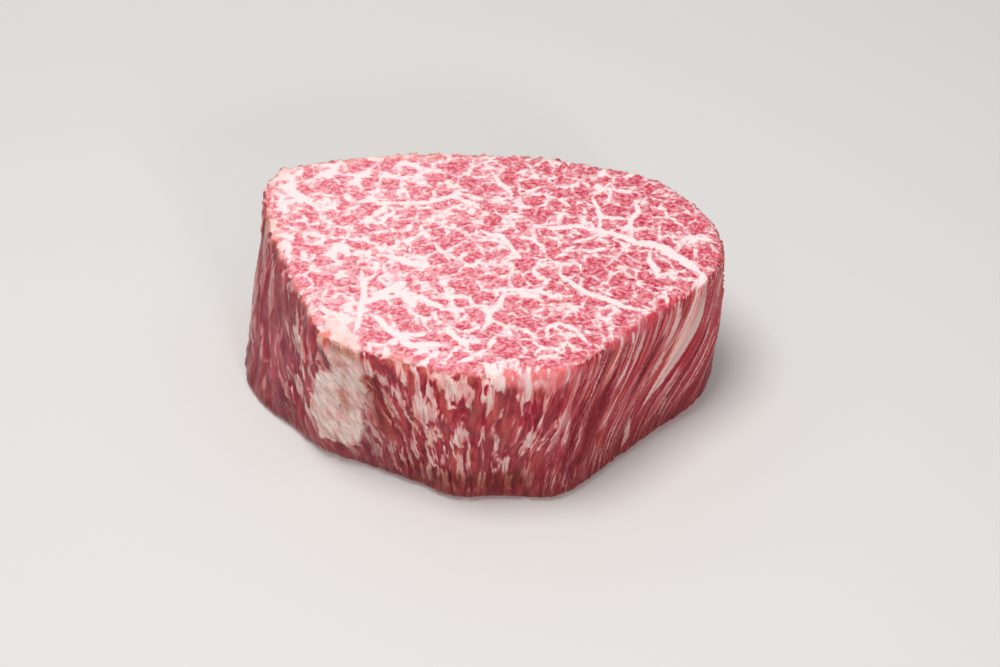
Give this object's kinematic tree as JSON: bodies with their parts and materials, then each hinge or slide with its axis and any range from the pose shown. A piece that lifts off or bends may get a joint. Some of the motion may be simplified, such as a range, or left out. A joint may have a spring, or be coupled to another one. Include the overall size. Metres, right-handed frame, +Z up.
{
  "type": "raw strip steak",
  "caption": "Raw, boneless, thick-cut strip steak: one block of heavily marbled beef with a flat base and slanting trimmed sides.",
  "frame": {"origin": "under the middle of the steak's box, on the flat face that it rests on", "axes": "+Z up, from the resting face to the upper cut face; +X along the steak's length, towards its rounded tip; +Y across it, away from the side with the corner of fat"},
  "size_m": [0.1062, 0.0678, 0.0403],
  "materials": {
    "marbled_beef": "satin"
  },
  "bodies": {
    "root": {"steak": "marbled_beef"}
  },
  "joints": []
}
